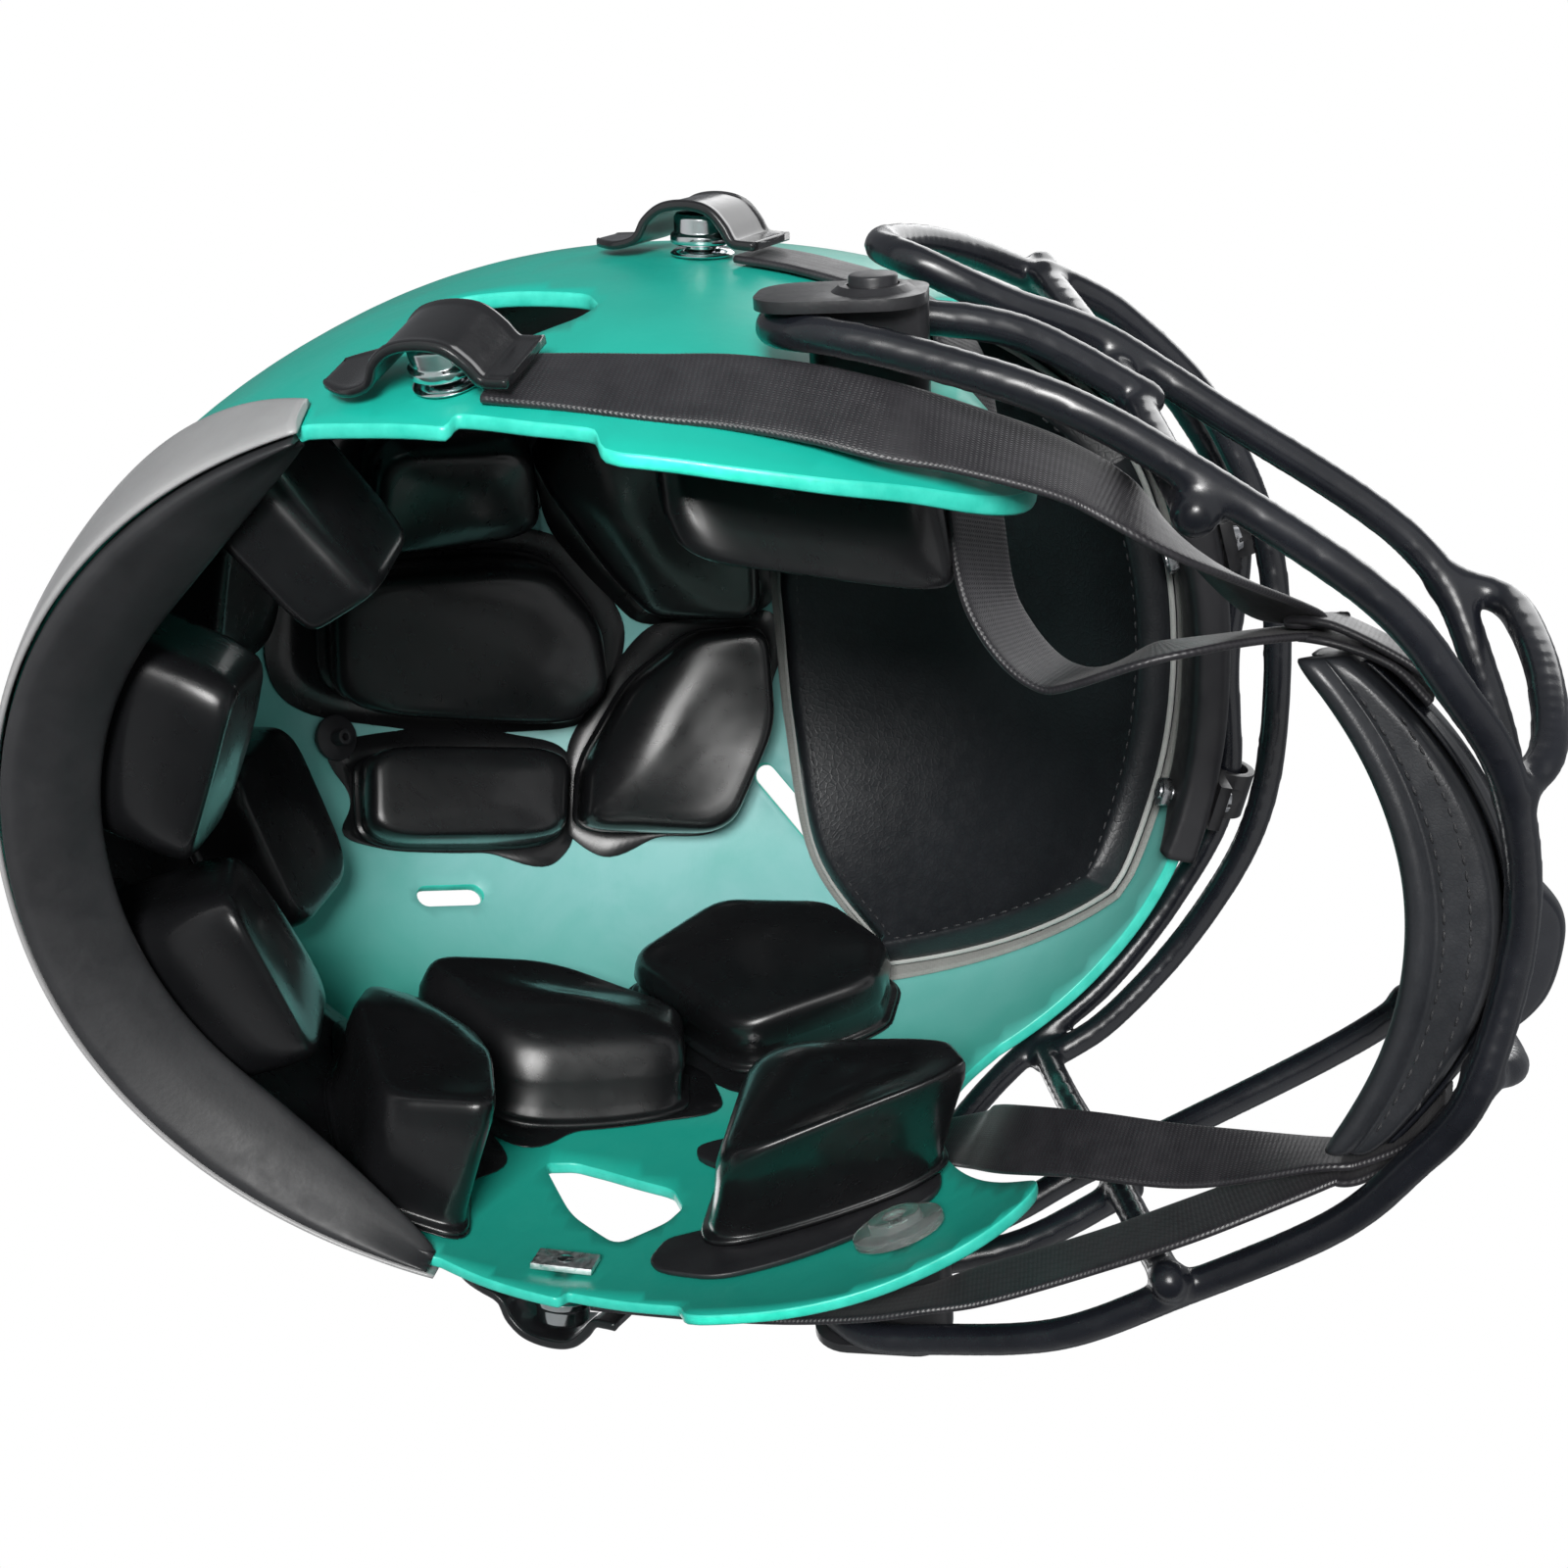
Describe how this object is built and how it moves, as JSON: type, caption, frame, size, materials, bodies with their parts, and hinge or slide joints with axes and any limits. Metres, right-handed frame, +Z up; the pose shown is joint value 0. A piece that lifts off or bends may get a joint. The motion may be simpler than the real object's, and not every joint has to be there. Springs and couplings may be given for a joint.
{
  "type": "football helmet",
  "caption": "Hard shell football helmet with ear holes, wire face mask, block pads, brow pad, padded chin cup on webbing straps and snap buckles.",
  "frame": {"origin": "centre of the bounding box at the ground plane the helmet stands on", "axes": "+X to the wearer's left, +Y to the back of the head, +Z up"},
  "size_m": [0.2812, 0.3726, 0.252],
  "materials": {
    "shell_green": "satin",
    "bumper_grey": "satin",
    "band_black": "satin",
    "pad_black": "satin",
    "backing_grey": "matte",
    "mask_black": "gloss",
    "clip_black": "gloss",
    "cup_black": "satin",
    "strap_black": "matte",
    "chrome": "polished",
    "clear_plastic": "clear"
  },
  "bodies": {
    "helmet": {"shell": "shell_green", "rear_bumper": "bumper_grey", "rear_band": "band_black", "front_bumper": "band_black", "brow_pad": "pad_black", "brow_pad_backing": "backing_grey", "crown_rear_pad": "pad_black", "crown_block_pad_left": "pad_black", "crown_block_pad_right": "pad_black", "crown_wing_pad_left": "pad_black", "crown_wing_pad_right": "pad_black", "upper_side_pad_left": "pad_black", "upper_side_pad_right": "pad_black", "side_pad_left": "pad_black", "side_pad_right": "pad_black", "rear_upper_pad_left": "pad_black", "rear_upper_pad_right": "pad_black", "rear_side_pad_left": "pad_black", "rear_side_pad_right": "pad_black", "nape_pad_left": "pad_black", "nape_pad_right": "pad_black", "jaw_pad_left": "pad_black", "jaw_pad_right": "pad_black", "jaw_plate_left": "clip_black", "jaw_plate_right": "clip_black", "valve_left": "band_black", "valve_right": "band_black", "jaw_bar": "mask_black", "mouth_bar": "mask_black", "eye_bar": "mask_black", "brow_bar": "mask_black", "pillar_left": "mask_black", "pillar_right": "mask_black", "upright_left": "mask_black", "upright_right": "mask_black", "brow_clips": "clip_black", "brow_screws": "chrome", "brow_nuts": "chrome", "side_clip_left": "clip_black", "side_clip_right": "clip_black", "clip_retainers": "clear_plastic", "snap_studs": "chrome", "snap_nuts": "chrome"},
    "chin_cup": {"chin_cup_shell": "clip_black", "chin_cup_liner": "cup_black", "lower_strap_left": "strap_black", "lower_strap_right": "strap_black", "upper_strap_left": "strap_black", "upper_strap_right": "strap_black"},
    "lower_buckle_left": {"lower_buckle_left": "cup_black", "lower_socket_left": "chrome"},
    "lower_buckle_right": {"lower_buckle_right": "cup_black", "lower_socket_right": "chrome"},
    "upper_buckle_left": {"upper_buckle_left": "cup_black", "upper_socket_left": "chrome"},
    "upper_buckle_right": {"upper_buckle_right": "cup_black", "upper_socket_right": "chrome"},
    "release_button_left": {"release_button_left": "clip_black"},
    "release_button_right": {"release_button_right": "clip_black"}
  },
  "joints": [
    {"name": "chin_cup_swing", "type": "hinge", "parent": "helmet", "child": "chin_cup", "pos_m": [0, 0.04884, 0.025], "axis": [1, 0, 0], "range_deg": [-0.8, 0.8], "deforming": ["upper_strap_left", "upper_strap_right"]},
    {"name": "lower_buckle_left_pull", "type": "slide", "parent": "chin_cup", "child": "lower_buckle_left", "axis": [0.96, 0.0722, -0.2705], "range_m": [0, 0.008]},
    {"name": "lower_buckle_right_pull", "type": "slide", "parent": "chin_cup", "child": "lower_buckle_right", "axis": [-0.96, 0.0722, -0.2705], "range_m": [0, 0.008]},
    {"name": "upper_buckle_left_pull", "type": "slide", "parent": "helmet", "child": "upper_buckle_left", "axis": [0.9983, -0.0586, -0.0051], "range_m": [0, 0.008]},
    {"name": "upper_buckle_right_pull", "type": "slide", "parent": "helmet", "child": "upper_buckle_right", "axis": [-0.9983, -0.0586, -0.0051], "range_m": [0, 0.008]},
    {"name": "release_button_left_press", "type": "slide", "parent": "helmet", "child": "release_button_left", "axis": [-1, 0, 0], "range_m": [0, 0.002], "stiffness_N_per_m": 400},
    {"name": "release_button_right_press", "type": "slide", "parent": "helmet", "child": "release_button_right", "axis": [1, 0, 0], "range_m": [0, 0.002], "stiffness_N_per_m": 400}
  ]
}
